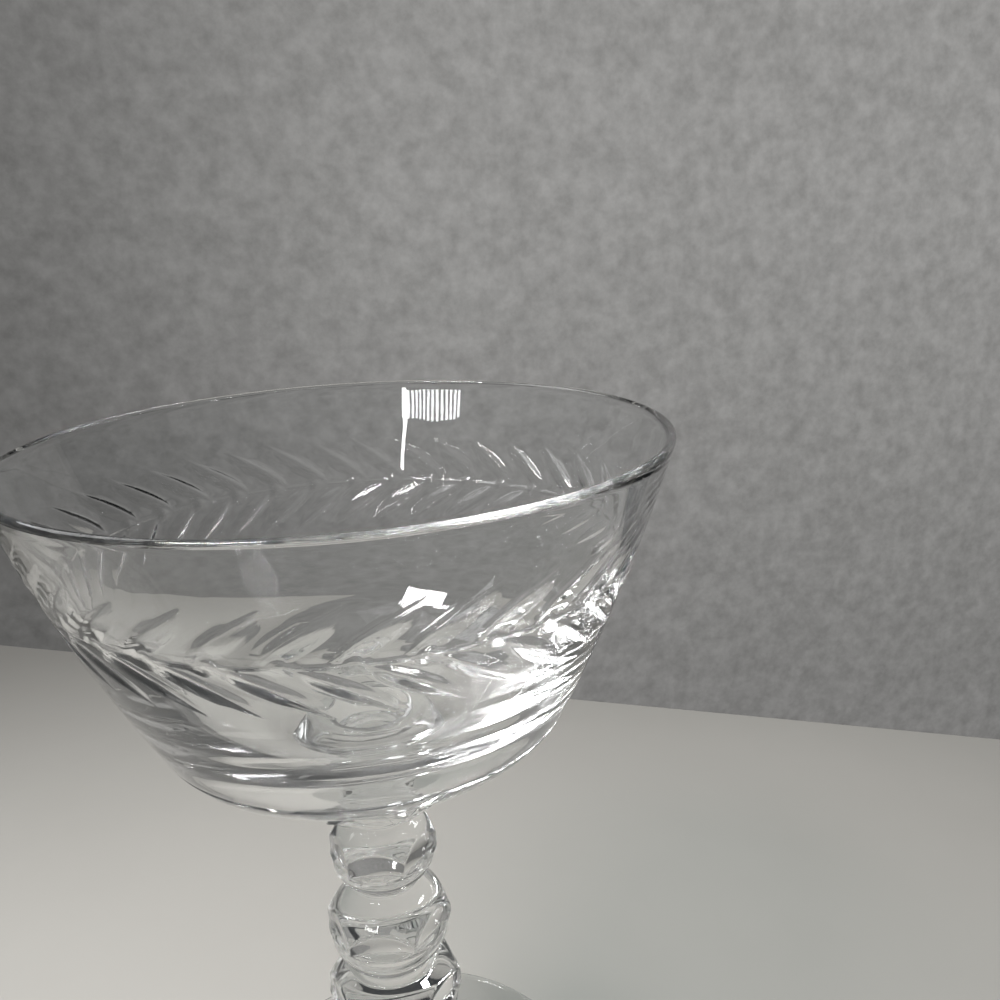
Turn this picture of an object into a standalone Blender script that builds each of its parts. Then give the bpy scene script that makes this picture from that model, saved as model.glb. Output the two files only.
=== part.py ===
"""Tall sherbet glass: a blown bowl, a pressed stem of graduated six-sided knops and a round foot.

Metres, +Z up. The origin is the centre of the ring that the foot rests on. The three pieces were
joined hot, so they stand one above the other on the glass's axis, with a small gap at each joint.
"""

import math

import bpy

MM = 0.001

# Overall sizes
HEIGHT = 138.0 * MM
RIM_RADIUS = 47.5 * MM
FOOT_RADIUS = 37.5 * MM
JOINT_GAP = 0.3 * MM

# Bowl, with depths measured down from the rim
RIM_THICKNESS = 1.2 * MM
WALL_BULGE = 0.9 * MM
HEEL_TOP_RADIUS = 32.0 * MM
HEEL_TOP_DEPTH = 41.2 * MM
HEEL_CORNER_RADIUS = 29.5 * MM
HEEL_CORNER_DEPTH = 46.4 * MM
FLOOR_EDGE_RADIUS = 21.0 * MM
FLOOR_EDGE_DEPTH = 47.9 * MM
INNER_BULGE = 0.45 * MM
INNER_HEEL_RADIUS = 37.6 * MM
INNER_HEEL_DEPTH = 23.0 * MM
INNER_CORNER_RADIUS = 27.4 * MM
INNER_FLOOR_RADIUS = 16.0 * MM
INNER_FLOOR_DEPTH = 45.4 * MM
FLOOR_DIP = 0.6 * MM
FLARE_RADIUS = 9.0 * MM
FLARE_DEPTH = 51.0 * MM
NECK_RADIUS = 6.6 * MM
NECK_DEPTH = 52.2 * MM

# Stem: each knop's flat sides as their top height, bottom height and corner radius
KNOP_SIDES = 6
KNOP_TURN = math.radians(49.0)
KNOPS = (
    (84.2 * MM, 79.0 * MM, 12.2 * MM),
    (70.0 * MM, 66.2 * MM, 9.1 * MM),
    (55.4 * MM, 52.2 * MM, 10.8 * MM),
    (40.9 * MM, 37.4 * MM, 11.8 * MM),
    (24.2 * MM, 20.4 * MM, 12.8 * MM),
)
# How far the six-sided shape runs above the flat sides, into the round shoulder that trims it
SHOULDER_OVERLAP = 0.6 * MM
# The round ring under each knop's flat sides: the drop of the ledge on which it starts and, as shares of the
# corner radius, its radius there, the radius its curve is drawn towards and one that stands clear of it
LEDGE_DROP = 0.5 * MM
RING_START = 0.94
RING_BULGE = 0.98
RING_CLEARANCE = 1.2
# The groove between two knops as its height and radius
GROOVES = (
    (73.6 * MM, 5.0 * MM),
    (60.4 * MM, 5.7 * MM),
    (44.5 * MM, 7.0 * MM),
    (28.0 * MM, 8.2 * MM),
)
GROOVE_HALF_HEIGHT = 1.3 * MM
GROOVE_FALL = 0.8 * MM
CORNER_CLEARANCE = 1.05
STEM_FOOT_RADIUS = 9.8 * MM
STEM_FOOT_HEIGHT = 9.0 * MM

# Foot
FOOT_EDGE_HEIGHT = 1.1 * MM
FOOT_RIM_TOP = 2.1 * MM
FOOT_SWEEP_RADIUS = 14.0 * MM
FOOT_SWEEP_HEIGHT = 4.2 * MM
REST_RING_OUTER = 36.2 * MM
REST_RING_INNER = 31.0 * MM
FOOT_HOLLOW = 1.0 * MM

# Glass
BODY_TINT = (0.96, 0.97, 0.97)
STEM_TINT = (0.95, 0.96, 0.96)
GLASS_ROUGHNESS = 0.02
GLASS_IOR = 1.52

# Facets
ROUND_STEPS = 48
STEM_STEPS = 36
CURVE_POINTS = 6
HEEL_POINTS = 5
EDGE_POINTS = 2
MERGE_DISTANCE = 0.01 * MM


def clear_scene():
    for leftover in list(bpy.data.objects):
        bpy.data.objects.remove(leftover)


def new_collection(name):
    collection = bpy.data.collections.new(name)
    bpy.context.scene.collection.children.link(collection)
    return collection


def clear_glass(name, tint):
    material = bpy.data.materials.new(name)
    material.use_nodes = True
    shader = material.node_tree.nodes["Principled BSDF"]
    shader.inputs["Base Color"].default_value = (*tint, 1.0)
    shader.inputs["Roughness"].default_value = GLASS_ROUGHNESS
    shader.inputs["Metallic"].default_value = 0.0
    shader.inputs["IOR"].default_value = GLASS_IOR
    shader.inputs["Transmission Weight"].default_value = 1.0
    return material


def curve(start, corner, end, points):
    """Points after start on the smooth curve that leaves start towards corner and arrives at end."""
    found = []
    for i in range(1, points + 1):
        t = i / points
        found.append(tuple(
            (1 - t) ** 2 * a + 2 * t * (1 - t) * b + t ** 2 * c
            for a, b, c in zip(start, corner, end)
        ))
    return found


def bulged_corner(start, end, bulge):
    """The corner that makes a curve from start to end stand out by bulge at its middle."""
    run = end[0] - start[0]
    rise = end[1] - start[1]
    length = math.hypot(run, rise)
    middle = ((start[0] + end[0]) / 2, (start[1] + end[1]) / 2)
    return middle[0] - 2 * bulge * rise / length, middle[1] + 2 * bulge * run / length


def turned(name, profile, steps, collection, smooth=True):
    """A solid turned about Z from (radius, height) points that run down its outer side."""
    mesh = bpy.data.meshes.new(name)
    edges = [(i, i + 1) for i in range(len(profile) - 1)]
    mesh.from_pydata([(radius, 0.0, height) for radius, height in profile], edges, [])
    piece = bpy.data.objects.new(name, mesh)
    collection.objects.link(piece)
    screw = piece.modifiers.new("turn", "SCREW")
    screw.axis = "Z"
    screw.angle = 2 * math.pi
    screw.steps = steps
    screw.render_steps = steps
    screw.use_merge_vertices = True
    screw.merge_threshold = MERGE_DISTANCE
    screw.use_smooth_shade = smooth
    return piece


def bowl_profile():
    """From the middle of the floor up the inside, over the rim and down the outside to the neck."""
    heel_top = (HEEL_TOP_RADIUS, HEIGHT - HEEL_TOP_DEPTH)
    heel_corner = (HEEL_CORNER_RADIUS, HEIGHT - HEEL_CORNER_DEPTH)
    floor_edge = (FLOOR_EDGE_RADIUS, HEIGHT - FLOOR_EDGE_DEPTH)
    rim_drop = RIM_THICKNESS / 2
    rim_outer = (RIM_RADIUS, HEIGHT - rim_drop)
    rim_crown = (RIM_RADIUS - rim_drop, HEIGHT)
    rim_inner = (RIM_RADIUS - RIM_THICKNESS, HEIGHT - rim_drop)
    inner_heel_top = (INNER_HEEL_RADIUS, HEIGHT - INNER_HEEL_DEPTH)
    inner_floor_edge = (INNER_FLOOR_RADIUS, HEIGHT - INNER_FLOOR_DEPTH)
    inner_heel_corner = (INNER_CORNER_RADIUS, inner_floor_edge[1])
    floor_middle = (0.0, inner_floor_edge[1] - FLOOR_DIP)
    flare = (FLARE_RADIUS, HEIGHT - FLARE_DEPTH)
    neck = (NECK_RADIUS, HEIGHT - NECK_DEPTH)

    inside = curve(
        rim_inner, bulged_corner(rim_inner, inner_heel_top, INNER_BULGE), inner_heel_top, CURVE_POINTS
    )
    inside += curve(inner_heel_top, inner_heel_corner, inner_floor_edge, CURVE_POINTS)
    outside = curve(
        rim_outer, bulged_corner(rim_outer, heel_top, WALL_BULGE), heel_top, CURVE_POINTS
    )
    outside += curve(heel_top, heel_corner, floor_edge, HEEL_POINTS)
    outside += [flare]
    outside += curve(flare, (NECK_RADIUS, flare[1]), neck, HEEL_POINTS)
    return (
        [floor_middle]
        + inside[::-1]
        + [rim_inner, rim_crown, rim_outer]
        + outside
        + [(0.0, neck[1])]
    )


def knop_profile(stem_top):
    """Corner radii of the six-sided stem, which stands clear of the round envelope below the flat sides."""
    to_corner = 1 / math.cos(math.pi / KNOP_SIDES)
    past_end = GROOVE_HALF_HEIGHT
    neck_corner = NECK_RADIUS * to_corner
    points = [(0.0, stem_top + past_end), (neck_corner, stem_top + past_end), (neck_corner, stem_top)]
    for i, (top, bottom, radius) in enumerate(KNOPS):
        wide = radius * RING_CLEARANCE
        end = GROOVES[i][0] if i < len(GROOVES) else STEM_FOOT_HEIGHT - past_end
        points += [(radius, top + SHOULDER_OVERLAP), (radius, bottom)]
        points += [(wide, bottom - LEDGE_DROP), (wide, end)]
    points += [(0.0, STEM_FOOT_HEIGHT - past_end)]
    return points


def envelope_profile(stem_top):
    """Round envelope of the stem: a conical shoulder and a full ring on each knop, and a cove at each groove.

    A shoulder meets the middle of the flat sides at their top and runs on down past the corners. The ring
    starts from a ledge at their bottom and rounds in to the groove; under the top knop it is a plain cone.
    """
    above = (NECK_RADIUS, stem_top)
    points = [(0.0, stem_top), above]
    for i, (top, bottom, radius) in enumerate(KNOPS):
        flat = radius * math.cos(math.pi / KNOP_SIDES)
        clear_radius = radius * CORNER_CLEARANCE
        steepness = (above[1] - top) / (flat - above[0])
        points += [(clear_radius, top - (clear_radius - flat) * steepness), (clear_radius, bottom)]
        ring_top = (radius * RING_START, bottom - LEDGE_DROP)
        ring_end = (STEM_FOOT_RADIUS, STEM_FOOT_HEIGHT)
        if i < len(GROOVES):
            height, groove_radius = GROOVES[i]
            lip = groove_radius + GROOVE_FALL
            ring_end = (lip, height + GROOVE_HALF_HEIGHT)
        ring_reach = radius * RING_BULGE if i else (ring_top[0] + ring_end[0]) / 2
        bulge = (ring_reach, (ring_top[1] + ring_end[1]) / 2)
        points += [ring_top] + curve(ring_top, bulge, ring_end, CURVE_POINTS)
        if i < len(GROOVES):
            lower_lip = (lip, height - GROOVE_HALF_HEIGHT)
            hollow = (groove_radius - GROOVE_FALL, height)
            points += curve(ring_end, hollow, lower_lip, CURVE_POINTS)
            above = lower_lip
    points += [(0.0, STEM_FOOT_HEIGHT)]
    return points


def foot_profile():
    """A low dome with a raised seat for the stem, a rounded edge and a slightly hollow underside."""
    seat = (STEM_FOOT_RADIUS, STEM_FOOT_HEIGHT - JOINT_GAP)
    rim_top = (REST_RING_OUTER, FOOT_RIM_TOP)
    edge = (FOOT_RADIUS, FOOT_EDGE_HEIGHT)
    ring_outer = (REST_RING_OUTER, 0.0)
    ring_inner = (REST_RING_INNER, 0.0)
    hollow = (0.0, FOOT_HOLLOW)
    points = [(0.0, seat[1]), seat]
    points += curve(seat, (FOOT_SWEEP_RADIUS, FOOT_SWEEP_HEIGHT), rim_top, CURVE_POINTS)
    points += curve(rim_top, (FOOT_RADIUS, FOOT_RIM_TOP), edge, EDGE_POINTS)
    points += curve(edge, (FOOT_RADIUS, 0.0), ring_outer, EDGE_POINTS)
    points += [ring_inner]
    points += curve(ring_inner, (REST_RING_INNER / 2, FOOT_HOLLOW), hollow, CURVE_POINTS)
    return points


def build():
    clear_scene()
    glass = new_collection("sherbet_glass")
    cutters = new_collection("sherbet_glass_cutters")

    bowl = turned("bowl", bowl_profile(), ROUND_STEPS, glass)
    bowl.data.materials.append(clear_glass("bowl_glass", BODY_TINT))

    stem_top = HEIGHT - NECK_DEPTH - JOINT_GAP
    envelope = turned("stem_envelope", envelope_profile(stem_top), STEM_STEPS, cutters)
    envelope.hide_render = True
    envelope.display_type = "WIRE"
    stem = turned("stem", knop_profile(stem_top), KNOP_SIDES, glass, smooth=False)
    stem.rotation_euler.z = KNOP_TURN
    stem.data.materials.append(clear_glass("stem_glass", STEM_TINT))
    trim = stem.modifiers.new("round_grooves", "BOOLEAN")
    trim.operation = "INTERSECT"
    trim.object = envelope

    foot = turned("foot", foot_profile(), ROUND_STEPS, glass)
    foot.data.materials.append(clear_glass("foot_glass", BODY_TINT))


build()
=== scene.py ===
"""Cut sherbet glass: a bowl with a cut laurel band, a stem of six-sided knops and a round foot."""

import math

import bmesh
import bpy
import numpy as np
from mathutils import Matrix, Vector


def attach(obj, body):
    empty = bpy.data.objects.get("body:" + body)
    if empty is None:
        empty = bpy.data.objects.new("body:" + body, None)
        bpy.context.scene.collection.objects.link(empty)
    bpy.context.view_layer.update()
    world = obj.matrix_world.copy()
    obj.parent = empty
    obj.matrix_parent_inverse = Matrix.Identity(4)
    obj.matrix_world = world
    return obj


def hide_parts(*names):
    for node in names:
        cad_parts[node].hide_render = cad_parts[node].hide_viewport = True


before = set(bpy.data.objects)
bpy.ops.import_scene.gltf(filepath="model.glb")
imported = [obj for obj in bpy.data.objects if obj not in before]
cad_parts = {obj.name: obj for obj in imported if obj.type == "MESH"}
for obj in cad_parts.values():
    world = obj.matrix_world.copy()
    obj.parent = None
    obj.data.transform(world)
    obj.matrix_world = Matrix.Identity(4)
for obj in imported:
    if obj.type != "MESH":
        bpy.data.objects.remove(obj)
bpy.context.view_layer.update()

MM = 0.001

# Bowl sizes in millimetres: (radius, height) points and thicknesses
RIM_TOP = 138.0
RIM_CENTRE = (46.9, 137.4)
RIM_ROUND = 0.6
HEEL_TOP = (32.0, 96.8)
HEEL_CORNER = (29.5, 91.6)
FLOOR_EDGE = (21.0, 90.1)
FLARE = (9.0, 87.0)
NECK_RADIUS = 6.6
NECK_HEIGHT = 85.8
OUTER_BULGE = 0.9
WALL_PARTS = 400
INNER_HEEL_TOP = (37.6, 115.0)
INNER_CORNER = (27.4, 92.6)
INNER_FLOOR_EDGE = (16.0, 92.6)
FLOOR_HEIGHT = 92.0
INNER_BULGE = 0.45

# Laurel band: leaves cut in pairs above and below a thin rib, with a round berry at each pair.
# Lengths are millimetres and turns are degrees. The band leans a little round the bowl.
LEAVES = 34
PITCH = 360.0 / LEAVES
LEAF_COLUMNS = 14
LEAF_BORDER = 5
LEAST_BORDER = 0.4
LEAF_ROOT = 1.0
LEAF_TIP = 0.4
BAND_DROP = 17.44
BAND_LEAN = 1.56
BAND_LEAN_TURN = 120.0
LEAN_START = 0.5
LEAN_END = 4.0
BAND_REACH = 9.5
UPPER_BASE = 0.6
UPPER_SPAN = 13.5
UPPER_RISE = 8.5
LOWER_SPAN = 15.0
LOWER_RISE = 8.2
LEAF_SIDES = (0.95, 2.3)
LEAF_SLANT = 0.64
LEAF_FULLNESS = 0.78
LEAF_TAPER = 0.5
LEAF_BEND = 1.2
LEAF_ROUND = 1.4
LEAF_DEPTH = 0.42
LEAST_SHARE = 0.02
RIB_HALF_WIDTH = 0.45
RIB_DEPTH = 0.16
BERRY_TURN = 3.6
BERRY_RADIUS = 1.5
BERRY_DEPTH = 0.4
# Heights from the rib of the rows that carry the cuts, and the depth that gets the wheel's full satin
RIB_ROWS = [0.0, 0.22, 0.45]
FIRST_LEAF_ROW = 0.75
LEAF_ROW_STEP = 0.35
FULL_SATIN_DEPTH = 0.04
CRISP_EDGE = math.radians(24.0)

# Stem: each knop's flat sides as top, bottom and corner radius, then the grooves as height and radius
KNOP_TURN = 49.0
KNOPS = (
    (84.2, 79.0, 12.2),
    (70.0, 66.2, 9.1),
    (55.4, 52.2, 10.8),
    (40.9, 37.4, 11.8),
    (24.2, 20.4, 12.8),
)
GROOVES = ((73.6, 5.0), (60.4, 5.7), (44.5, 7.0), (28.0, 8.2))
GROOVE_HALF_HEIGHT = 1.3
GROOVE_FALL = 0.8
# The round trim: a shoulder over each knop's flat sides and, from a ledge below them, a ring.
# The clearances, the ring's radius on the ledge and the reach of its curve are shares of the corner radius.
CORNER_CLEARANCE = 1.05
SHOULDER_OVERLAP = 0.6
SHOULDER_BULGE = 0.22
LEDGE_DROP = 0.5
RING_START = 0.94
RING_BULGE = 0.98
RING_CLEARANCE = 1.2
STEM_FOOT_RADIUS = 9.8
STEM_FOOT_HEIGHT = 9.0
KNOP_SIDES = 6
KNOP_COLUMNS = 24
STEM_ROWS = 257
# Columns crowd towards the corners of a knop by this share
CORNER_CROWDING = 0.6
SOFT_EDGE = 0.5

# Foot, in millimetres
FOOT_RADIUS = 37.5
FOOT_EDGE_HEIGHT = 1.1
FOOT_RIM_TOP = 2.1
FOOT_SWEEP = (14.0, 4.2)
REST_RING_OUTER = 36.2
REST_RING_INNER = 31.0
FOOT_HOLLOW = 1.0

# Glass: its two tints, how much its smudges dull it and how far its waves and the wheel's scores stand out
GLASS_IOR = 1.52
CRYSTAL_TINTS = (0.975, 0.985, 0.985), (0.99, 0.995, 0.995)
PRESSED_TINTS = (0.96, 0.97, 0.97), (0.985, 0.99, 0.99)
SMUDGE = 0.02
WAVE = 1.0
FOOT_WAVE = 0.6
RELIEF = 0.0001
SATIN_LEAST = 0.012
SATIN_GRAIN = 0.09
SCORE = 0.12
# The wheel's scores run along a leaf: this fine across it, and this coarse in the part's own metres
SCORES_ACROSS = 9.0
SCORES_ALONG = 260.0
# What each surface lets through to the shadow, thicker glass holding back more
BOWL_SHADE = (0.88, 0.9, 0.9)
FOOT_SHADE = (0.965, 0.97, 0.97)

# Lamps: directions are (turn from +X, rise) in degrees, sizes are metres and strength is brightness.
# A louvre is a name, direction, roll, distance, number of strips, width, height and strength.
LOUVRES = (
    ("far_louvre", (230.0, 26.4), 6.0, 0.9, 14, 0.40, 0.030, 22.0),
    ("near_louvre", (208.3, 56.8), 17.6, 1.0, 14, 0.385, 0.22, 66.0),
    ("end_strip", (242.3, 28.6), 0.0, 0.9, 1, 0.04, 0.075, 34.0),
)
STRIP_SHARE = 0.55
# A panel is a name, direction, distance, width, height and strength
PANELS = (
    ("side_panel", (151.0, 43.0), 0.95, 0.66, 0.45, 2.8),
    ("top_panel", (195.0, 76.0), 1.2, 0.7, 0.5, 0.7),
)
LIT_POINT = (0.0, 0.03, 0.12)
ROOM_LIGHT = 0.045
ROOM_COLOUR = (0.9, 0.95, 1.0, 1.0)

# Table in metres: its far edge passes this point, and its colour carries a painted pool of light, brightest
# at the middle and darkening away from it as painted shade
TABLE_SIZE = (2.4, 1.2, 0.03)
TABLE_TURN = math.radians(-25.4)
TABLE_EDGE = (0.0455, 0.1645, 0.0)
TABLE_CLEARANCE = 0.0002
TABLE_ROUND = 0.001
TABLE_COLOURS = (0.58, 0.562, 0.523), (0.625, 0.607, 0.567)
TABLE_GRAIN = 6.0
TABLE_LIGHT_POOL_STRETCH = (0.6, 1.0, 1.0)
TABLE_LIGHT_POOL_MIDDLE = (0.0, 0.0, 0.0)
TABLE_LIGHT_POOL_REACH = 0.32
TABLE_PAINTED_SHADE = 0.3

# Felt in metres, with painted shade across and up it, darker to the left and low down, as (from, to, level
# at from, level at to)
FELT_HALF_SIZE = (0.75, 0.5, 1.0)
FELT_MIDDLE = (0.1, 0.62, -0.07)
FELT_COLOURS = (0.245, 0.242, 0.235), (0.345, 0.341, 0.333)
FELT_GRAIN = 70.0
FELT_PAINTED_SHADE_ACROSS = (-0.32, 0.14, 0.52, 1.0)
FELT_PAINTED_SHADE_UP = (-0.3, 0.2, 0.68, 1.0)

# Camera: its place in metres and the directions to its right, up and ahead
LENS = 31.06
SENSOR = 36.0
NEAREST = 0.005
CAMERA_PLACE = (0.0, -0.12561, 0.164)
CAMERA_RIGHT = (0.98116318, -0.18898566, -0.04004031)
CAMERA_UP = (0.09239076, 0.27703454, 0.95640776)
CAMERA_AHEAD = (0.1696548, 0.94209144, -0.28927662)


def arc(start, corner, end, count):
    """Points after start on the smooth curve that leaves start towards corner and arrives at end."""
    t = np.linspace(0.0, 1.0, count + 1)[1:, None]
    a, b, c = (np.array(p, float) for p in (start, corner, end))
    return [tuple(p) for p in (1 - t) ** 2 * a + 2 * t * (1 - t) * b + t ** 2 * c]


def bulged(start, end, bulge):
    """The corner that makes an arc from start to end stand out by bulge at its middle."""
    run = end[0] - start[0]
    rise = end[1] - start[1]
    length = math.hypot(run, rise)
    middle = ((start[0] + end[0]) / 2, (start[1] + end[1]) / 2)
    return middle[0] - 2 * bulge * rise / length, middle[1] + 2 * bulge * run / length


class Wall:
    """The outside of the bowl, read by the distance down from the rim."""

    def __init__(self, points):
        self.points = np.array(points, float)
        steps = np.hypot(*np.diff(self.points, axis=0).T)
        self.along = np.concatenate(([0.0], np.cumsum(steps)))
        self.length = float(self.along[-1])
        even = np.linspace(0.0, self.length, WALL_PARTS + 1)
        radius, height = (np.interp(even, self.along, values) for values in self.points.T)
        run, rise = np.gradient(radius), np.gradient(height)
        size = np.hypot(run, rise)
        self.table = list(zip(radius, height, -rise / size, run / size))

    def at(self, s):
        """Radius and height, then the direction that faces out of the glass."""
        place = min(max(s / self.length, 0.0), 1.0) * WALL_PARTS
        first = min(int(place), WALL_PARTS - 1)
        share = place - first
        return [a + (b - a) * share for a, b in zip(self.table[first], self.table[first + 1])]

    def depth(self, height):
        return float(np.interp(-height, -self.points[:, 1], self.along))


def rim_ends(lean):
    """Where the round of the rim meets the inside and the outside of the wall."""
    across = (RIM_ROUND * math.cos(lean), RIM_ROUND * math.sin(lean))
    inner = (RIM_CENTRE[0] - across[0], RIM_CENTRE[1] + across[1])
    outer = (RIM_CENTRE[0] + across[0], RIM_CENTRE[1] - across[1])
    return inner, outer


WALL_LEAN = math.radians(19.0)
RIM_INNER, RIM_OUTER = rim_ends(WALL_LEAN)
WALL = Wall([RIM_OUTER] + arc(RIM_OUTER, bulged(RIM_OUTER, HEEL_TOP, OUTER_BULGE), HEEL_TOP, WALL_PARTS))
BAND_RADIUS = WALL.at(WALL.depth(RIM_TOP - BAND_DROP))[0]


def new_piece(name, bm, node, materials):
    """A finished mesh in the scene that stands for a node of the solid model."""
    mesh = bpy.data.meshes.new(name)
    bm.to_mesh(mesh)
    bm.free()
    piece = bpy.data.objects.new(name, mesh)
    bpy.context.scene.collection.objects.link(piece)
    for material in materials:
        mesh.materials.append(material)
    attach(piece, "root")
    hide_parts(node)


def turn_profile(bm, points, steps):
    """Turns (radius, height) points in millimetres once round the axis and closes the seam."""
    verts = [bm.verts.new((radius * MM, 0.0, height * MM)) for radius, height in points]
    edges = [bm.edges.new(pair) for pair in zip(verts, verts[1:])]
    bmesh.ops.spin(
        bm, geom=verts + edges, cent=(0, 0, 0), axis=(0, 0, 1),
        angle=2 * math.pi, steps=steps, use_merge=True,
    )


def close_up(bm):
    """Merges what meets, faces everything outward and shades it smooth."""
    bmesh.ops.remove_doubles(bm, verts=bm.verts, dist=0.001 * MM)
    bmesh.ops.recalc_face_normals(bm, faces=bm.faces)
    for face in bm.faces:
        face.smooth = True


def seal_joint(bm, height):
    """Gives the faces of a hot joint at this height the second, unseen material."""
    for face in bm.faces:
        if all(abs(v.co.z - height * MM) < 0.002 * MM for v in face.verts):
            face.material_index = 1
            face.smooth = False
            for edge in face.edges:
                edge.smooth = False


def leaf_share(rise_share):
    """Width of a leaf at a share of its length from the rib, as a share of its greatest width."""
    if rise_share <= 0.0 or rise_share >= 1.0:
        return 0.0
    return 1.0 - (2.0 * rise_share ** LEAF_FULLNESS - 1.0) ** 2


def eased(value, low, high):
    """0 at low and 1 at high, with a soft start and end."""
    t = min(max((value - low) / (high - low), 0.0), 1.0)
    return t * t * (3.0 - 2.0 * t)


def leaf_place(column, rise):
    """Angle of a column at a height from the rib, how far across its leaf it is and the leaf's width."""
    upper = rise >= 0.0
    height = abs(rise)
    span, full = (UPPER_SPAN, UPPER_RISE) if upper else (LOWER_SPAN, LOWER_RISE)
    half = LEAF_COLUMNS // 2
    centre = 0 if upper else half
    cell, place = divmod(column - centre + half, LEAF_COLUMNS)
    place -= half
    share = leaf_share(height / full)
    side = LEAF_SIDES[0] if place < 0 else LEAF_SIDES[1]
    width = math.degrees(side * share / LEAF_SLANT / BAND_RADIUS)
    even = PITCH * LEAF_BORDER / LEAF_COLUMNS
    fitted = max(width, LEAST_BORDER * even)
    blend = eased(height, 0.0, LEAF_ROOT) * (1.0 - eased(height, full - LEAF_TIP, BAND_REACH))
    border = even + (fitted - even) * blend
    if abs(place) <= LEAF_BORDER:
        offset = border * place / LEAF_BORDER
    else:
        beyond = (abs(place) - LEAF_BORDER) / (half - LEAF_BORDER)
        offset = math.copysign(border + (PITCH / 2 - border) * beyond, place)
    valley = UPPER_BASE + (cell + centre / LEAF_COLUMNS) * PITCH
    valley += span * (min(height, full) / full) ** LEAF_BEND
    across = math.radians(offset) * BAND_RADIUS * LEAF_SLANT / side
    return valley + offset, across, share


def cut_depth(angle, rise, across, share):
    """How deep the wheel went, in millimetres: a rounded leaf, the rib or a round berry."""
    leaf = 0.0
    if share > LEAST_SHARE:
        leaf = LEAF_DEPTH * share ** LEAF_TAPER * (share - share * abs(across / share) ** LEAF_ROUND)
    rib = RIB_DEPTH * (1.0 - abs(rise) / RIB_HALF_WIDTH)
    turn = (angle - BERRY_TURN + PITCH / 2) % PITCH - PITCH / 2
    away = math.hypot(math.radians(turn) * BAND_RADIUS, rise) / BERRY_RADIUS
    berry = BERRY_DEPTH * (1.0 - away * away)
    return max(leaf, rib, berry, 0.0)


def bowl_rows():
    """Heights above the rib of the rows that carry the band, from the top down."""
    steps = list(np.arange(FIRST_LEAF_ROW, BAND_REACH + 0.01, LEAF_ROW_STEP))
    above = sorted(RIB_ROWS + steps, reverse=True)
    return above + [-rise for rise in RIB_ROWS[1:] + steps]


def make_bowl(materials):
    bm = bmesh.new()
    run_layer = bm.verts.layers.float.new("run")
    rise_layer = bm.verts.layers.float.new("rise")
    cut_layer = bm.verts.layers.float.new("cut")
    grain_layer = bm.verts.layers.float.new("grain")

    middle = WALL.depth(RIM_TOP - BAND_DROP)
    band = [middle - rise for rise in bowl_rows()]
    above = list(np.linspace(0.0, band[0], 11))[:-1]
    below = list(np.linspace(band[-1], WALL.length, 19))[1:]
    rows = above + band + below

    floor = []
    for share in np.linspace(0.0, 1.0, 9)[:-1]:
        rise = (INNER_FLOOR_EDGE[1] - FLOOR_HEIGHT) * eased(share, 0.0, 1.0)
        floor.append((INNER_FLOOR_EDGE[0] * share, FLOOR_HEIGHT + rise))
    inside = [RIM_INNER]
    inside += arc(RIM_INNER, bulged(RIM_INNER, INNER_HEEL_TOP, INNER_BULGE), INNER_HEEL_TOP, 14)
    inside += arc(INNER_HEEL_TOP, INNER_CORNER, INNER_FLOOR_EDGE, 22)
    rim = []
    for turn in np.linspace(math.pi - WALL_LEAN, -WALL_LEAN, 13)[1:-1]:
        rim.append((RIM_CENTRE[0] + RIM_ROUND * math.cos(turn), RIM_CENTRE[1] + RIM_ROUND * math.sin(turn)))
    outside = [WALL.at(s)[:2] for s in rows]
    under = arc(HEEL_TOP, HEEL_CORNER, FLOOR_EDGE, 16)
    under += arc(FLOOR_EDGE, ((FLOOR_EDGE[0] + FLARE[0]) / 2, (FLOOR_EDGE[1] + FLARE[1]) / 2), FLARE, 6)
    under += arc(FLARE, (NECK_RADIUS, FLARE[1]), (NECK_RADIUS, NECK_HEIGHT), 6)
    lead = floor + inside[::-1] + rim
    points = lead + outside + under + [(0.0, NECK_HEIGHT)]

    verts = [bm.verts.new((radius * MM, 0.0, height * MM)) for radius, height in points]
    for vert in verts:
        vert[run_layer] = -1.0
    for vert, s in zip(verts[len(lead):], rows):
        vert[run_layer] = s
        vert[rise_layer] = middle - s
    edges = [bm.edges.new(pair) for pair in zip(verts, verts[1:])]
    columns = LEAVES * LEAF_COLUMNS
    cell = math.radians(PITCH)
    bmesh.ops.spin(bm, geom=verts + edges, cent=(0, 0, 0), axis=(0, 0, 1), angle=cell, steps=LEAF_COLUMNS)
    bmesh.ops.spin(
        bm, geom=bm.verts[:] + bm.edges[:] + bm.faces[:], cent=(0, 0, 0), axis=(0, 0, 1),
        angle=2 * math.pi - cell, steps=LEAVES - 1, use_duplicate=True,
    )
    bmesh.ops.remove_doubles(bm, verts=bm.verts, dist=0.002 * MM)

    for vert in bm.verts:
        s = vert[run_layer]
        if s < 0.0:
            continue
        column = round(math.degrees(math.atan2(vert.co.y, vert.co.x)) / PITCH * LEAF_COLUMNS) % columns
        rise = vert[rise_layer]
        angle, across, share = leaf_place(column, rise)
        deep = cut_depth(angle, rise, across, share)
        held = eased(s, LEAN_START, band[0]) * (1.0 - eased(s, band[-1], WALL.length - LEAN_END))
        lean = BAND_LEAN * math.cos(math.radians(angle + BAND_LEAN_TURN)) / math.cos(WALL_LEAN)
        place = s - lean * held
        radius, height, outward, upward = WALL.at(place)
        radius -= deep * outward
        height -= deep * upward
        turn = math.radians(angle)
        vert.co = (radius * MM * math.cos(turn), radius * MM * math.sin(turn), height * MM)
        vert[cut_layer] = min(deep / FULL_SATIN_DEPTH, 1.0)
        vert[grain_layer] = across
    bmesh.ops.recalc_face_normals(bm, faces=bm.faces)
    for face in bm.faces:
        face.smooth = True
    for edge in bm.edges:
        if all(v[cut_layer] > 0.0 for v in edge.verts) or any(v[cut_layer] > 0.5 for v in edge.verts):
            if edge.calc_face_angle(0.0) > CRISP_EDGE:
                edge.smooth = False
    seal_joint(bm, NECK_HEIGHT)
    new_piece("cut_bowl", bm, "bowl", materials)


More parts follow.
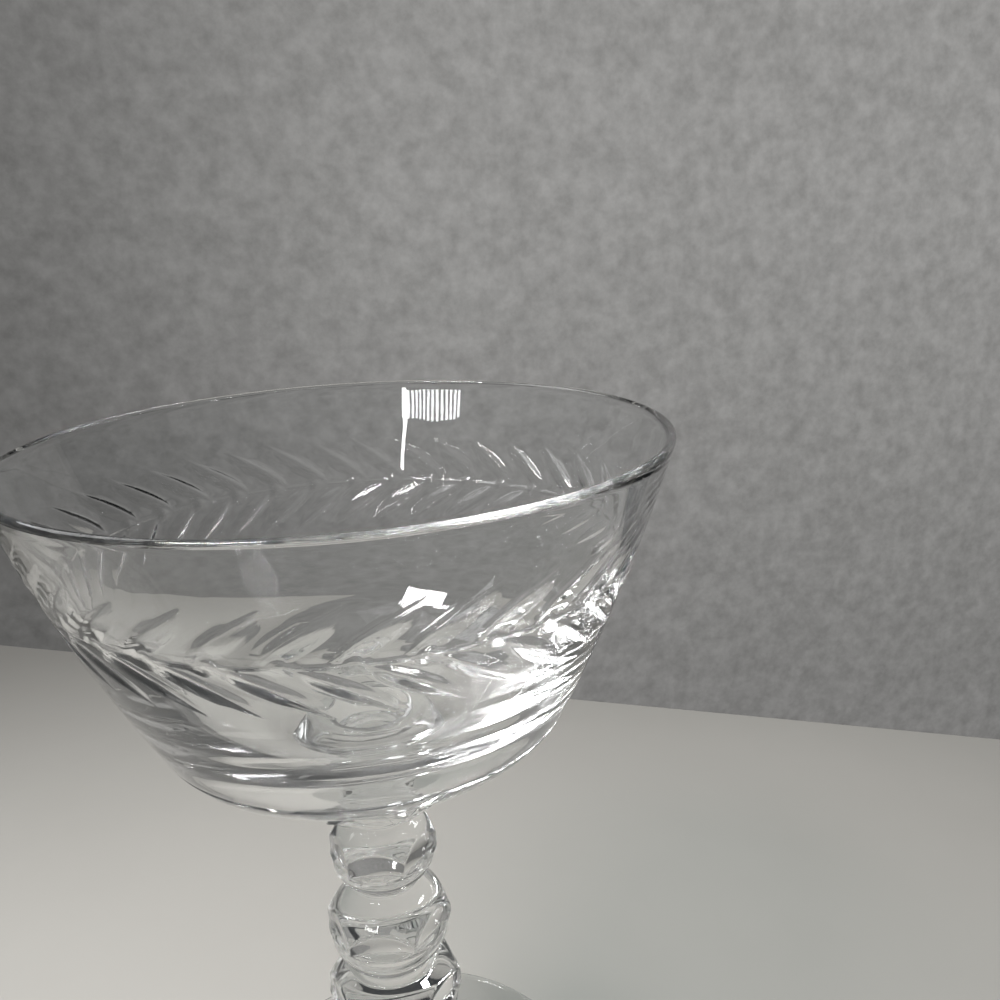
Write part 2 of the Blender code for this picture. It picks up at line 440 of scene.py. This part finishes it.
def stem_outlines():
    """The six-sided stem's corner radius and its round trim's radius, each as (height, radius) points.

    A conical shoulder meets the middle of the flat sides at their top and runs on down past the corners.
    A round ring starts from a ledge at their bottom and rounds in to the groove; the top knop's is a cone.
    """
    to_corner = 1.0 / math.cos(math.pi / KNOP_SIDES)
    above = (NECK_RADIUS, NECK_HEIGHT)
    corner = [(NECK_HEIGHT, NECK_RADIUS * to_corner)]
    round_reach = [(NECK_HEIGHT, NECK_RADIUS)]
    for i, (top, bottom, radius) in enumerate(KNOPS):
        flat = radius / to_corner
        clear = radius * CORNER_CLEARANCE
        wide = radius * RING_CLEARANCE
        steepness = (above[1] - top) / (flat - above[0])
        shoulder_end = (clear, top - (clear - flat) * steepness)
        shoulder = arc(above, bulged(above, shoulder_end, SHOULDER_BULGE), shoulder_end, 10)
        ring_top = (radius * RING_START, bottom - LEDGE_DROP)
        ring_end = (STEM_FOOT_RADIUS, STEM_FOOT_HEIGHT)
        corner_end = STEM_FOOT_HEIGHT
        cove = []
        if i < len(GROOVES):
            middle, groove = GROOVES[i]
            corner_end = middle
            ring_end = (groove + GROOVE_FALL, middle + GROOVE_HALF_HEIGHT)
            above = (groove + GROOVE_FALL, middle - GROOVE_HALF_HEIGHT)
            cove = arc(ring_end, (groove - GROOVE_FALL, middle), above, 8)
        ring_reach = radius * RING_BULGE if i else (ring_top[0] + ring_end[0]) / 2
        bulge = (ring_reach, (ring_top[1] + ring_end[1]) / 2)
        ring = [ring_top] + arc(ring_top, bulge, ring_end, 12)
        corner += [(top + SHOULDER_OVERLAP, radius), (bottom, radius)]
        corner += [(ring_top[1], wide), (corner_end, wide)]
        round_reach += [(h, r) for r, h in shoulder + [(clear, bottom)] + ring + cove]
    return np.array(corner[::-1]).T, np.array(round_reach[::-1]).T


def make_stem(materials):
    bm = bmesh.new()
    heights = np.linspace(NECK_HEIGHT, STEM_FOOT_HEIGHT, STEM_ROWS)
    reaches = [np.interp(heights, *outline) for outline in stem_outlines()]
    points = [(0.0, NECK_HEIGHT)]
    points += [(NECK_RADIUS, h) for h in heights]
    points += [(0.0, STEM_FOOT_HEIGHT)]
    columns = KNOP_SIDES * KNOP_COLUMNS
    half_side = math.pi / KNOP_SIDES
    turn_profile(bm, points, columns)
    bmesh.ops.remove_doubles(bm, verts=bm.verts, dist=0.001 * MM)
    inside = []
    for vert in bm.verts:
        radius = math.hypot(vert.co.x, vert.co.y)
        if radius < 0.1 * MM:
            continue
        column = round(math.degrees(math.atan2(vert.co.y, vert.co.x)) * columns / 360.0)
        side, place = divmod(column, KNOP_COLUMNS)
        share = 2.0 * place / KNOP_COLUMNS - 1.0
        crowded = CORNER_CROWDING * math.sin(share * math.pi / 2)
        from_flat = half_side * ((1.0 - CORNER_CROWDING) * share + crowded)
        height = vert.co.z / MM
        row = round((NECK_HEIGHT - height) / (heights[0] - heights[1]))
        flat = reaches[0][row] * math.cos(half_side) / math.cos(from_flat)
        reach = min(flat, reaches[1][row]) * MM
        turn = math.radians(KNOP_TURN) + (2 * side + 1) * half_side + from_flat
        vert.co = (reach * math.cos(turn), reach * math.sin(turn), vert.co.z)
        if STEM_FOOT_HEIGHT + 0.05 < height < NECK_HEIGHT - 0.05:
            inside.append(vert)
    bmesh.ops.smooth_vert(
        bm, verts=inside, factor=SOFT_EDGE, use_axis_x=True, use_axis_y=True, use_axis_z=True
    )
    close_up(bm)
    seal_joint(bm, NECK_HEIGHT)
    seal_joint(bm, STEM_FOOT_HEIGHT)
    new_piece("knop_stem", bm, "stem", materials)


def make_foot(materials):
    seat = (STEM_FOOT_RADIUS, STEM_FOOT_HEIGHT)
    rim_top = (REST_RING_OUTER, FOOT_RIM_TOP)
    edge = (FOOT_RADIUS, FOOT_EDGE_HEIGHT)
    points = [(0.0, seat[1]), seat]
    points += arc(seat, FOOT_SWEEP, rim_top, 36)
    points += arc(rim_top, (FOOT_RADIUS, FOOT_RIM_TOP), edge, 8)
    points += arc(edge, (FOOT_RADIUS, 0.0), (REST_RING_OUTER, 0.0), 8)
    points += [(REST_RING_INNER, 0.0)]
    points += arc((REST_RING_INNER, 0.0), (REST_RING_INNER / 2, FOOT_HOLLOW), (0.0, FOOT_HOLLOW), 16)
    bm = bmesh.new()
    turn_profile(bm, points, 192)
    close_up(bm)
    seal_joint(bm, STEM_FOOT_HEIGHT)
    new_piece("polished_foot", bm, "foot", materials)


def new_group(name, inputs, outputs):
    group = bpy.data.node_groups.new(name, "ShaderNodeTree")
    for label, kind, value in inputs:
        socket = group.interface.new_socket(label, in_out="INPUT", socket_type=kind)
        socket.default_value = value
    for label, kind in outputs:
        group.interface.new_socket(label, in_out="OUTPUT", socket_type=kind)
    entry = group.nodes.new("NodeGroupInput")
    leave = group.nodes.new("NodeGroupOutput")
    return group, entry, leave


def put(tree, kind, **values):
    """A node with its settings, where a name that the node doesn't have is one of its inputs."""
    node = tree.nodes.new(kind)
    for name, value in values.items():
        if hasattr(node, name):
            setattr(node, name, value)
        else:
            node.inputs[name.replace("_", " ").title()].default_value = value
    return node


def maths(tree, operation, first, second, clamp=False):
    node = tree.nodes.new("ShaderNodeMath")
    node.operation = operation
    node.use_clamp = clamp
    for socket, value in zip(node.inputs, (first, second)):
        if isinstance(value, (int, float)):
            socket.default_value = value
        else:
            tree.links.new(value, socket)
    return node.outputs[0]


def ranged(tree, value, low, high, at_low, at_high):
    node = put(tree, "ShaderNodeMapRange", from_min=low, from_max=high, to_min=at_low, to_max=at_high)
    tree.links.new(value, node.inputs["Value"])
    return node


def handled_glass():
    """Smudges, fine scratches and the slow waves of glass worked hot, over any piece."""
    group, entry, leave = new_group(
        "handled_glass",
        [("Smudge", "NodeSocketFloat", SMUDGE), ("Wave", "NodeSocketFloat", WAVE)],
        [("Roughness", "NodeSocketFloat"), ("Height", "NodeSocketFloat"), ("Clear", "NodeSocketFloat")],
    )
    place = put(group, "ShaderNodeTexCoord")
    smudge = put(group, "ShaderNodeTexNoise", scale=55.0, detail=4.0)
    group.links.new(place.outputs["Object"], smudge.inputs["Vector"])
    patch = ranged(group, smudge.outputs["Fac"], 0.5, 0.75, 0.0, 1.0)
    turned = put(group, "ShaderNodeMapping")
    turned.inputs["Rotation"].default_value = (0.5, 0.3, 0.9)
    turned.inputs["Scale"].default_value = (60.0, 60.0, 2200.0)
    group.links.new(place.outputs["Object"], turned.inputs["Vector"])
    scratch = put(group, "ShaderNodeTexNoise", scale=1.0, detail=1.0)
    group.links.new(turned.outputs[0], scratch.inputs["Vector"])
    line = ranged(group, scratch.outputs["Fac"], 0.7, 0.74, 0.0, 1.0)
    dull = maths(group, "ADD", patch.outputs[0], maths(group, "MULTIPLY", line.outputs[0], 1.5))
    group.links.new(maths(group, "MULTIPLY", dull, entry.outputs["Smudge"]), leave.inputs["Roughness"])

    stretched = put(group, "ShaderNodeMapping")
    stretched.inputs["Scale"].default_value = (90.0, 90.0, 40.0)
    group.links.new(place.outputs["Object"], stretched.inputs["Vector"])
    wave = put(group, "ShaderNodeTexNoise", scale=1.0, detail=1.0)
    group.links.new(stretched.outputs[0], wave.inputs["Vector"])
    raised = maths(group, "MULTIPLY", wave.outputs["Fac"], entry.outputs["Wave"])
    group.links.new(raised, leave.inputs["Height"])
    group.links.new(smudge.outputs["Fac"], leave.inputs["Clear"])
    return group


def clear_glass(name, handled, tints, wave, shade, cut=False):
    """Clear glass that lets lamp light through, with the satin of the wheel where the piece is cut."""
    material = bpy.data.materials.new(name)
    material.use_nodes = True
    tree = material.node_tree
    shader = tree.nodes["Principled BSDF"]
    shader.inputs["IOR"].default_value = GLASS_IOR
    shader.inputs["Transmission Weight"].default_value = 1.0
    worn = tree.nodes.new("ShaderNodeGroup")
    worn.node_tree = handled
    worn.inputs["Smudge"].default_value = SMUDGE
    worn.inputs["Wave"].default_value = wave
    tint = tree.nodes.new("ShaderNodeMix")
    tint.data_type = "RGBA"
    tint.inputs["A"].default_value = (*tints[0], 1.0)
    tint.inputs["B"].default_value = (*tints[1], 1.0)
    tree.links.new(worn.outputs["Clear"], tint.inputs["Factor"])
    tree.links.new(tint.outputs["Result"], shader.inputs["Base Color"])
    rough = worn.outputs["Roughness"]
    height = worn.outputs["Height"]
    if cut:
        mask = tree.nodes.new("ShaderNodeAttribute")
        mask.attribute_name = "cut"
        grain = tree.nodes.new("ShaderNodeAttribute")
        grain.attribute_name = "grain"
        place = tree.nodes.new("ShaderNodeTexCoord")
        fine = put(tree, "ShaderNodeTexNoise", scale=1.0, detail=2.0)
        gathered = tree.nodes.new("ShaderNodeCombineXYZ")
        apart = tree.nodes.new("ShaderNodeSeparateXYZ")
        tree.links.new(place.outputs["Object"], apart.inputs[0])
        tree.links.new(maths(tree, "MULTIPLY", grain.outputs["Fac"], SCORES_ACROSS), gathered.inputs["X"])
        tree.links.new(maths(tree, "MULTIPLY", apart.outputs["X"], SCORES_ALONG), gathered.inputs["Y"])
        tree.links.new(maths(tree, "MULTIPLY", apart.outputs["Y"], SCORES_ALONG), gathered.inputs["Z"])
        tree.links.new(gathered.outputs[0], fine.inputs["Vector"])
        grained = maths(tree, "MULTIPLY", fine.outputs["Fac"], SATIN_GRAIN)
        satin = maths(tree, "MULTIPLY", mask.outputs["Fac"], maths(tree, "ADD", grained, SATIN_LEAST))
        rough = maths(tree, "ADD", rough, satin)
        scored = maths(tree, "MULTIPLY", fine.outputs["Fac"], mask.outputs["Fac"])
        height = maths(tree, "ADD", height, maths(tree, "MULTIPLY", scored, SCORE))
    tree.links.new(rough, shader.inputs["Roughness"])
    bump = tree.nodes.new("ShaderNodeBump")
    bump.inputs["Strength"].default_value = 1.0
    bump.inputs["Distance"].default_value = RELIEF
    tree.links.new(height, bump.inputs["Height"])
    tree.links.new(bump.outputs["Normal"], shader.inputs["Normal"])

    through = tree.nodes.new("ShaderNodeBsdfTransparent")
    through.inputs["Color"].default_value = (*shade, 1.0)
    path = tree.nodes.new("ShaderNodeLightPath")
    either = tree.nodes.new("ShaderNodeMixShader")
    tree.links.new(path.outputs["Is Shadow Ray"], either.inputs["Fac"])
    tree.links.new(shader.outputs["BSDF"], either.inputs[1])
    tree.links.new(through.outputs["BSDF"], either.inputs[2])
    tree.links.new(either.outputs["Shader"], tree.nodes["Material Output"].inputs["Surface"])
    return material


def hot_joint():
    """The seam where two pieces were joined hot, which leaves nothing to see."""
    material = bpy.data.materials.new("hot_joint")
    material.use_nodes = True
    shader = material.node_tree.nodes["Principled BSDF"]
    shader.inputs["IOR"].default_value = GLASS_IOR
    shader.inputs["Alpha"].default_value = 0.0
    return material


def mottled(tree, dark, light, scale):
    """A soft grain between two colours."""
    place = tree.nodes.new("ShaderNodeTexCoord")
    mottle = put(tree, "ShaderNodeTexNoise", scale=scale, detail=5.0, roughness=0.62)
    tree.links.new(place.outputs["Object"], mottle.inputs["Vector"])
    grain = ranged(tree, mottle.outputs["Fac"], 0.3, 0.7, 0.0, 1.0)
    blend = tree.nodes.new("ShaderNodeMix")
    blend.data_type = "RGBA"
    blend.inputs["A"].default_value = (*dark, 1.0)
    blend.inputs["B"].default_value = (*light, 1.0)
    tree.links.new(grain.outputs[0], blend.inputs["Factor"])
    return place.outputs["Object"], blend.outputs["Result"]


# Scales a colour by a painted light and shade factor
def with_painted_shade(tree, colour, shade):
    node = tree.nodes.new("ShaderNodeVectorMath")
    node.operation = "SCALE"
    tree.links.new(colour, node.inputs[0])
    tree.links.new(shade, node.inputs["Scale"])
    return node.outputs[0]


def table_cloth():
    """A pale matt top with a painted pool of light: its colour is brightest where the glass stands and
    darkens away from it as painted shade.
    """
    material = bpy.data.materials.new("pale_table")
    material.use_nodes = True
    tree = material.node_tree
    shader = tree.nodes["Principled BSDF"]
    shader.inputs["Roughness"].default_value = 0.6
    shader.inputs["Specular IOR Level"].default_value = 0.0
    place, colour = mottled(tree, *TABLE_COLOURS, TABLE_GRAIN)
    away = tree.nodes.new("ShaderNodeVectorMath")
    away.operation = "DISTANCE"
    away.inputs[1].default_value = TABLE_LIGHT_POOL_MIDDLE
    squeezed = tree.nodes.new("ShaderNodeVectorMath")
    squeezed.operation = "MULTIPLY"
    squeezed.inputs[1].default_value = TABLE_LIGHT_POOL_STRETCH
    tree.links.new(place, squeezed.inputs[0])
    tree.links.new(squeezed.outputs[0], away.inputs[0])
    # Painted pool of light: the colour is brightest where the glass stands and darkens away from it as
    # painted shade
    painted_light_pool = ranged(tree, away.outputs["Value"], 0.0, TABLE_LIGHT_POOL_REACH, 1.0, TABLE_PAINTED_SHADE)
    painted_light_pool.interpolation_type = "SMOOTHSTEP"
    tree.links.new(with_painted_shade(tree, colour, painted_light_pool.outputs[0]), shader.inputs["Base Color"])
    return material


def felt_cloth():
    """A mottled grey backdrop, seen at its own set brightness by the camera and through the glass, with
    painted shade that darkens it to the left and low down.
    """
    material = bpy.data.materials.new("grey_felt")
    material.use_nodes = True
    tree = material.node_tree
    shader = tree.nodes["Principled BSDF"]
    shader.inputs["Roughness"].default_value = 0.95
    shader.inputs["Specular IOR Level"].default_value = 0.0
    place, colour = mottled(tree, *FELT_COLOURS, FELT_GRAIN)
    apart = tree.nodes.new("ShaderNodeSeparateXYZ")
    tree.links.new(place, apart.inputs[0])
    # Painted shade: the felt's colour darkens towards the left and towards the bottom
    across = ranged(tree, apart.outputs["X"], *FELT_PAINTED_SHADE_ACROSS)
    across.interpolation_type = "SMOOTHSTEP"
    up = ranged(tree, apart.outputs["Z"], *FELT_PAINTED_SHADE_UP)
    felt_with_painted_shade = with_painted_shade(tree, colour, maths(tree, "MULTIPLY", across.outputs[0], up.outputs[0]))
    tree.links.new(felt_with_painted_shade, shader.inputs["Base Color"])
    glow = tree.nodes.new("ShaderNodeEmission")
    tree.links.new(felt_with_painted_shade, glow.inputs["Color"])
    path = tree.nodes.new("ShaderNodeLightPath")
    seen = maths(tree, "MAXIMUM", path.outputs["Is Camera Ray"], path.outputs["Is Glossy Ray"])
    seen = maths(tree, "MAXIMUM", seen, path.outputs["Is Transmission Ray"])
    either = tree.nodes.new("ShaderNodeMixShader")
    tree.links.new(seen, either.inputs["Fac"])
    tree.links.new(shader.outputs["BSDF"], either.inputs[1])
    tree.links.new(glow.outputs["Emission"], either.inputs[2])
    tree.links.new(either.outputs["Shader"], tree.nodes["Material Output"].inputs["Surface"])
    return material


def stage_piece(name, bm, material):
    """A finished mesh that is only there to stand the glass on or behind it."""
    mesh = bpy.data.meshes.new(name)
    bm.to_mesh(mesh)
    bm.free()
    piece = bpy.data.objects.new(name, mesh)
    bpy.context.scene.collection.objects.link(piece)
    mesh.materials.append(material)


def make_stage():
    lie = Matrix.Translation(TABLE_EDGE) @ Matrix.Rotation(TABLE_TURN, 4, "Z")
    set_back = (0.0, -TABLE_SIZE[1] / 2, -TABLE_SIZE[2] / 2 - TABLE_CLEARANCE)
    bm = bmesh.new()
    bmesh.ops.create_cube(bm, size=1.0)
    bmesh.ops.scale(bm, vec=TABLE_SIZE, verts=bm.verts)
    bmesh.ops.translate(bm, vec=set_back, verts=bm.verts)
    bmesh.ops.transform(bm, matrix=lie, verts=bm.verts)
    bmesh.ops.bevel(
        bm, geom=bm.edges, offset=TABLE_ROUND, offset_type="OFFSET", segments=2, profile=0.5,
        affect="EDGES", material=-1,
    )
    stage_piece("table", bm, table_cloth())

    bm = bmesh.new()
    bmesh.ops.create_grid(bm, x_segments=1, y_segments=1, size=1.0)
    bmesh.ops.scale(bm, vec=FELT_HALF_SIZE, verts=bm.verts)
    bmesh.ops.rotate(bm, matrix=Matrix.Rotation(math.radians(90.0), 3, "X"), verts=bm.verts)
    bmesh.ops.translate(bm, vec=FELT_MIDDLE, verts=bm.verts)
    stage_piece("backdrop", bm, felt_cloth())


def add_lamp(name, stand, shift, width, height, strength):
    """A flat lamp on its stand, moved across by shift."""
    data = bpy.data.lights.new(name, "AREA")
    data.shape = "RECTANGLE"
    data.size = width
    data.size_y = height
    data.energy = strength * width * height * math.pi
    lamp = bpy.data.objects.new(name, data)
    bpy.context.scene.collection.objects.link(lamp)
    lamp.matrix_world = stand @ Matrix.Translation((shift, 0.0, 0.0))


def lamp_stand(turn, rise, roll, distance):
    """Where a lamp stands to face the lit point, rolled about its own aim."""
    turn, rise = math.radians(turn), math.radians(rise)
    out = Vector((math.cos(turn) * math.cos(rise), math.sin(turn) * math.cos(rise), math.sin(rise)))
    face = (-out).to_track_quat("-Z", "Y").to_matrix().to_4x4()
    rolled = face @ Matrix.Rotation(math.radians(roll), 4, "Z")
    return Matrix.Translation(Vector(LIT_POINT) + out * distance) @ rolled


def make_light():
    """Louvred lamps on the left, soft panels at the side and overhead, and a dim room."""
    world = bpy.data.worlds.new("room")
    bpy.context.scene.world = world
    world.use_nodes = True
    sky = world.node_tree.nodes["Background"]
    sky.inputs["Color"].default_value = ROOM_COLOUR
    sky.inputs["Strength"].default_value = ROOM_LIGHT
    for name, (turn, rise), roll, distance, strips, width, height, strength in LOUVRES:
        stand = lamp_stand(turn, rise, roll, distance)
        pitch = width / strips
        for i in range(strips):
            shift = pitch * (i - (strips - 1) / 2)
            add_lamp("%s_%d" % (name, i), stand, shift, STRIP_SHARE * pitch, height, strength)
    for name, (turn, rise), distance, width, height, strength in PANELS:
        add_lamp(name, lamp_stand(turn, rise, 0.0, distance), 0.0, width, height, strength)


def make_camera():
    data = bpy.data.cameras.new("camera")
    data.sensor_width = SENSOR
    data.lens = LENS
    data.clip_start = NEAREST
    camera = bpy.data.objects.new("camera", data)
    bpy.context.scene.collection.objects.link(camera)
    stand = Matrix((CAMERA_RIGHT, CAMERA_UP, -Vector(CAMERA_AHEAD))).transposed().to_4x4()
    stand.translation = CAMERA_PLACE
    camera.matrix_world = stand
    bpy.context.scene.camera = camera


scene = bpy.context.scene
scene.view_settings.view_transform = "Standard"
scene.cycles.max_bounces = 32
scene.cycles.glossy_bounces = 24
scene.cycles.transmission_bounces = 32
scene.cycles.transparent_max_bounces = 24
scene.cycles.caustics_refractive = False
scene.cycles.caustics_reflective = False
scene.cycles.use_denoising = True
scene.cycles.sample_clamp_indirect = 60.0

handled = handled_glass()
joint = hot_joint()
make_bowl([clear_glass("cut_crystal", handled, CRYSTAL_TINTS, WAVE, BOWL_SHADE, cut=True), joint])
make_stem([clear_glass("pressed_crystal", handled, PRESSED_TINTS, WAVE, BOWL_SHADE), joint])
make_foot([clear_glass("polished_crystal", handled, CRYSTAL_TINTS, FOOT_WAVE, FOOT_SHADE), joint])
make_stage()
make_light()
make_camera()
